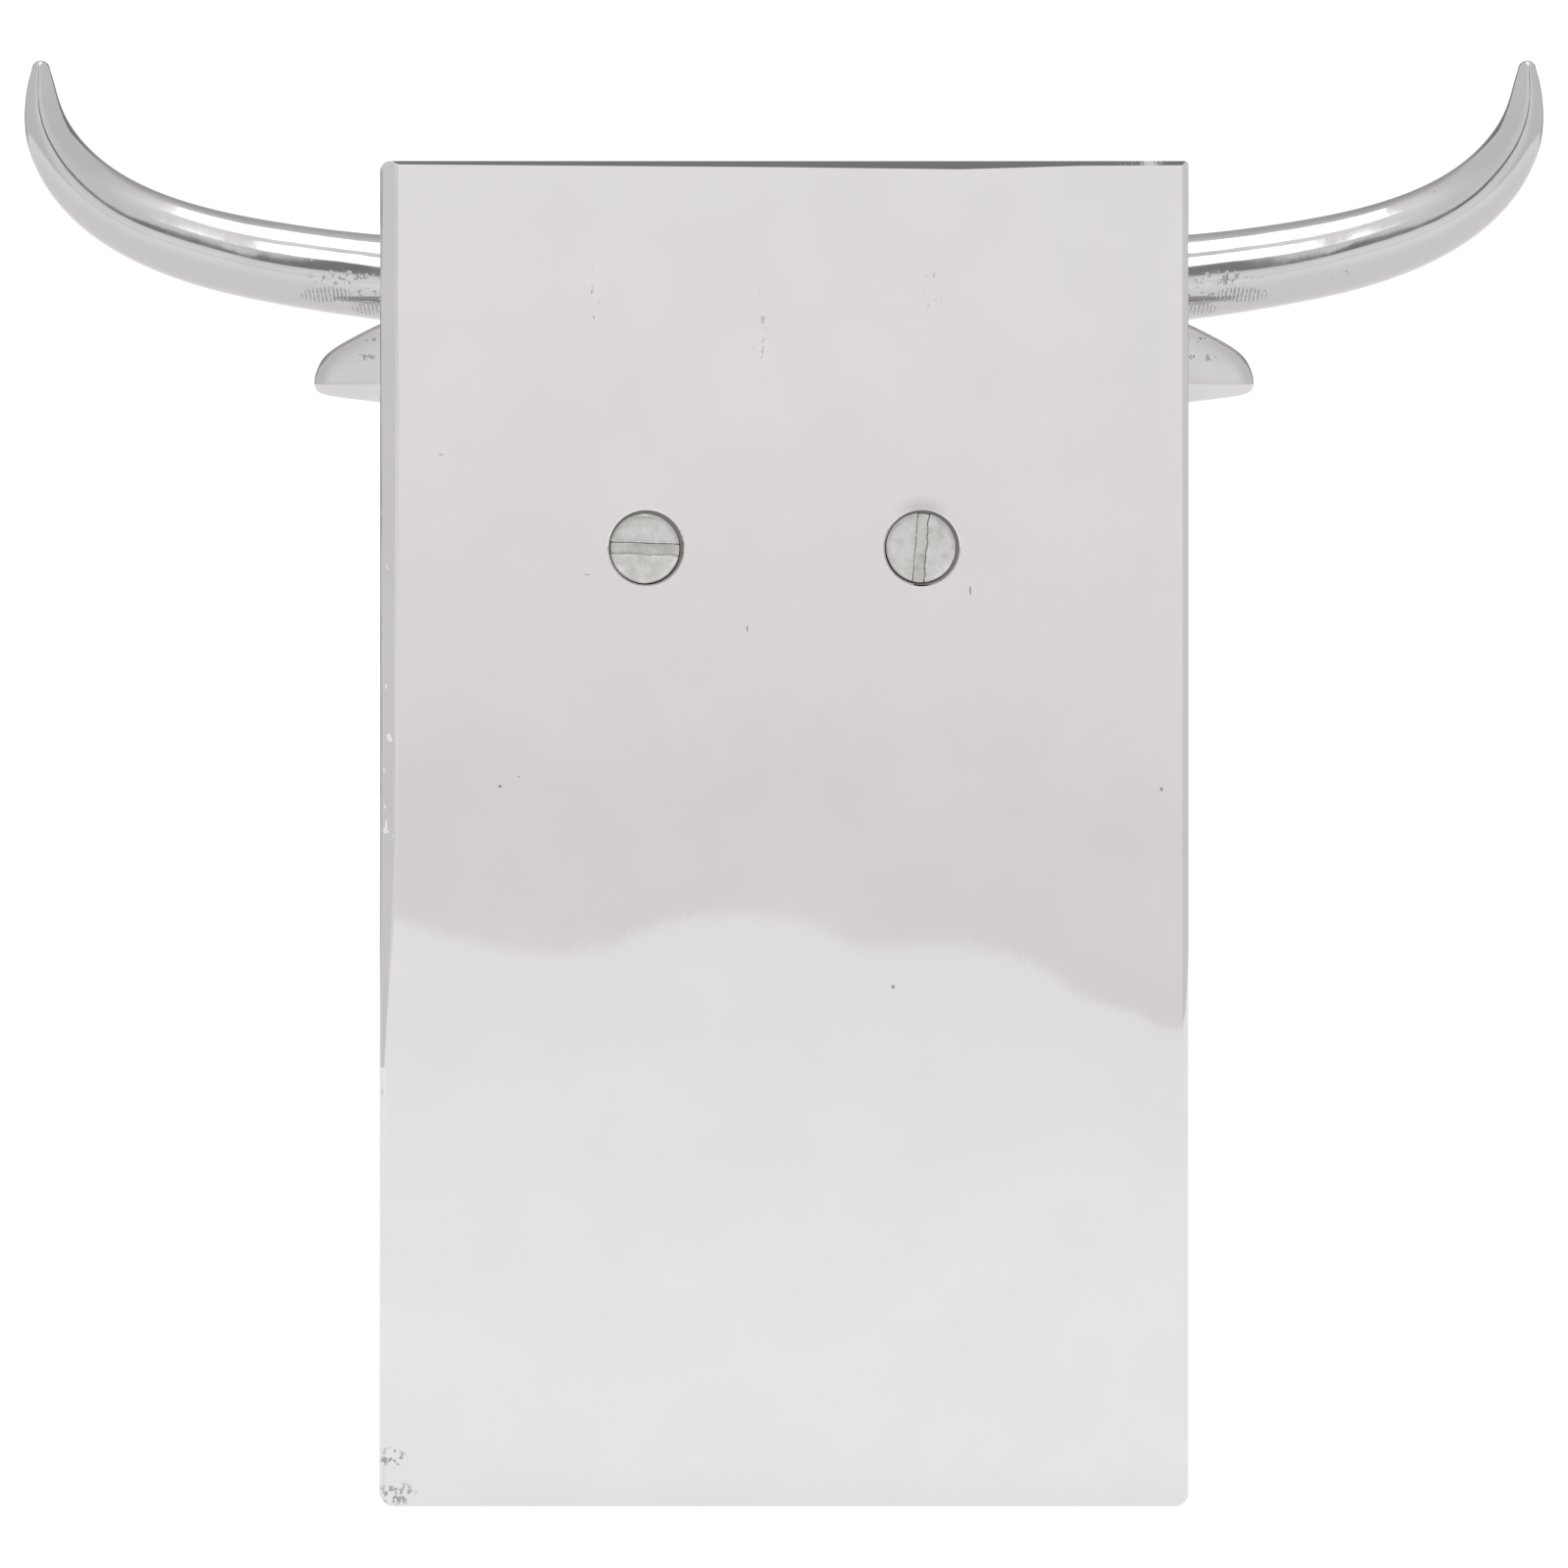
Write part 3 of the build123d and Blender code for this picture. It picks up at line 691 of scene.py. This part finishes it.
def make_screw(name, node):
    low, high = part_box(node)
    middle_x, middle_z = (low.x + high.x) / 2, (low.z + high.z) / 2
    seat = high.y - SCREW_HEAD_HEIGHT * MM
    flat = np.arange(-SCREW_HEAD_RADIUS - 0.2, SCREW_HEAD_RADIUS + 0.2, SCREW_GRID)
    rise = np.arange(-0.16, SCREW_HEAD_HEIGHT + 0.2, SCREW_GRID)
    along, across, up = np.meshgrid(flat, flat, rise, indexing="ij")
    points, faces = surface(
        screw_head_field(along, across, up), np.array([flat[0], flat[0], rise[0]]), SCREW_GRID
    )
    turn = math.radians(SLOT_TURNS[node])
    right = points[:, 0] * math.cos(turn) - points[:, 1] * math.sin(turn)
    over = points[:, 0] * math.sin(turn) + points[:, 1] * math.cos(turn)
    # Seen from the book side, +X is to the left
    head = np.stack([middle_x - right * MM, seat + points[:, 2] * MM, middle_z + over * MM], 1)
    # Threaded shank, its upper end buried in the head
    length = (seat - low.y) / MM
    rings = []
    for step in range(int(length / SHANK_STEP) + 1):
        depth = min(step * SHANK_STEP, length)
        # The very end is chamfered
        narrowed = min(1.0, (length - depth) / 0.6 + 0.72)
        ring = []
        for i in range(SHANK_SIDES):
            angle = 2 * math.pi * i / SHANK_SIDES
            phase = (depth / THREAD_PITCH + i / SHANK_SIDES) % 1.0
            wide = (SCREW_RADIUS - THREAD_DEPTH * abs(2 * phase - 1)) * narrowed
            side, lift = wide * math.cos(angle) * MM, wide * math.sin(angle) * MM
            ring.append((middle_x + side, seat - (depth - SHANK_BURIED) * MM, middle_z + lift))
        rings.append(ring)
    shank, skin = tube(rings)
    skin = [tuple(v + len(head) for v in face) for face in skin]
    return new_piece(name, head.tolist() + shank, faces.tolist() + skin, node, steel)


make_head()
for node in SCREW_NAMES:
    make_screw(node + "_steel", node)
for side, word in ((1, "left"), (-1, "right")):
    make_horn(word + "_horn_casting", side, word + "_horn")
    make_ear(word + "_ear_casting", side, word + "_ear")


# ---------------------------------------------------------------- camera

CAMERA_DISTANCE = 1.3
CAMERA_LEVEL = 0.102
# Width of the picture at the book face
PICTURE_WIDTH = 0.22144


def make_camera():
    data = bpy.data.cameras.new("camera")
    camera = bpy.data.objects.new("camera", data)
    scene.collection.objects.link(camera)
    camera.location = (0.0, BOOK_FACE + CAMERA_DISTANCE, CAMERA_LEVEL)
    camera.rotation_euler = (math.radians(90), 0.0, math.radians(180))
    data.sensor_width = 36.0
    data.lens = data.sensor_width * CAMERA_DISTANCE / PICTURE_WIDTH
    data.clip_end = 50.0
    scene.camera = camera


# ---------------------------------------------------------------- studio

STUDIO_STRENGTH = 1.08
STUDIO_SIDE = (0.70, 0.69, 0.69, 1.0)
DARK_CARD = (0.22, 0.22, 0.22, 1.0)
WHITE = (1.0, 1.0, 1.0, 1.0)
FLOOR_RADIUS = 4.6
FLOOR_SIDES = 128
SOFTBOX_LEVEL = 1.3


def make_floor():
    """A pale round sheet of paper, lit almost evenly; its far edge shows in the polished face."""
    turns = [2 * math.pi * i / FLOOR_SIDES for i in range(FLOOR_SIDES)]
    mesh = bpy.data.meshes.new("floor")
    rim = [(FLOOR_RADIUS * math.cos(t), FLOOR_RADIUS * math.sin(t), 0.0) for t in turns]
    mesh.from_pydata(rim, [], [tuple(range(FLOOR_SIDES))])
    floor = bpy.data.objects.new("floor", mesh)
    scene.collection.objects.link(floor)
    made, n = material("floor")
    place = n.add("ShaderNodeNewGeometry").outputs["Position"]
    split = n.add("ShaderNodeSeparateXYZ", {0: place})
    glow = n.span(split.outputs["Y"], 0.2, 3.0, 0.79, 0.75)
    paper = n.add("ShaderNodeBsdfDiffuse", {"Color": (0.34, 0.34, 0.34, 1.0)})
    light = n.add("ShaderNodeEmission", {"Color": WHITE, "Strength": glow})
    both = n.add("ShaderNodeAddShader", {0: paper.outputs[0], 1: light.outputs[0]})
    n.add("ShaderNodeOutputMaterial", {"Surface": both.outputs[0]})
    mesh.materials.append(made)


# How bright the studio is by the angle from the level on the camera's side, over the top, to the level
# on the far side: straight ahead, where a dark opening lies between the lamps, and away from the middle
AHEAD = [
    (0, (0.825, 0.80, 0.80)), (1, (0.868, 0.85, 0.848)), (2, (0.893, 0.878, 0.876)), (4, (0.91, 0.90, 0.90)),
    (13, 0.83), (17, 0.80), (19, 0.22), (43, 0.22), (45, 0.70), (68, 0.70),
    (70, 0.645), (78, 0.645), (81, 0.9), (112, 0.8), (124, 0.60), (145, 0.43), (168, 0.42), (180, 0.62),
]
ASIDE = [
    (0, (0.825, 0.80, 0.80)), (1, (0.868, 0.85, 0.848)), (4, 0.90), (13, 0.82), (45, 0.73), (60, 0.80),
    (80, 0.90), (105, 0.80), (125, 0.55), (145, 0.38), (165, 0.40), (180, 0.64),
]


def make_world():
    world = bpy.data.worlds.new("studio")
    scene.world = world
    world.use_nodes = True
    n = Nodes(world.node_tree)
    direction = n.add("ShaderNodeTexCoord").outputs["Generated"]
    split = n.add("ShaderNodeSeparateXYZ", {0: direction})
    over = n.math("DIVIDE", n.math("ARCTAN2", split.outputs["Z"], split.outputs["Y"]), math.pi)
    ahead = n.ramp(over, *[(angle / 180, value) for angle, value in AHEAD])
    aside = n.ramp(over, *[(angle / 180, value) for angle, value in ASIDE])
    width = n.math("ABSOLUTE", split.outputs["X"])
    tent = n.blend(n.span(width, 0.045, 0.06), ahead, aside)
    tent = n.blend(n.span(width, 0.25, 0.55), tent, STUDIO_SIDE)
    # Two dark cards stand behind the object, left and right
    beyond = n.span(split.outputs["Y"], -0.45, -0.25, 1.0, 0.0)
    below = n.span(split.outputs["Z"], 0.55, 0.62, 1.0, 0.0)
    card = n.math("MULTIPLY", n.span(width, 0.30, 0.36), n.span(width, 0.62, 0.70, 1.0, 0.0))
    card = n.math("MULTIPLY", n.math("MULTIPLY", card, beyond), below)
    tent = n.blend(card, tent, DARK_CARD)
    seen = n.add("ShaderNodeLightPath").outputs["Is Camera Ray"]
    colour = n.blend(seen, tent, WHITE)
    back = n.add("ShaderNodeBackground", {"Color": colour, "Strength": STUDIO_STRENGTH})
    n.add("ShaderNodeOutputWorld", {"Surface": back.outputs[0]})


def make_softbox(name, near, far, width, radiance):
    """A level lamp over the object between two distances in y, with an even glow of that radiance."""
    data = bpy.data.lights.new(name, "AREA")
    data.shape = "RECTANGLE"
    data.size, data.size_y = width, far - near
    data.energy = radiance * math.pi * data.size * data.size_y
    lamp = bpy.data.objects.new(name, data)
    scene.collection.objects.link(lamp)
    lamp.location = (0.0, (near + far) / 2, SOFTBOX_LEVEL)
    lamp.visible_camera = False


make_camera()
make_floor()
make_world()
make_softbox("front_softbox", 0.475, 1.106, 0.18, 1.45)
make_softbox("top_softbox", -0.434, 0.218, 0.34, 1.7)
scene.view_settings.view_transform = "Standard"
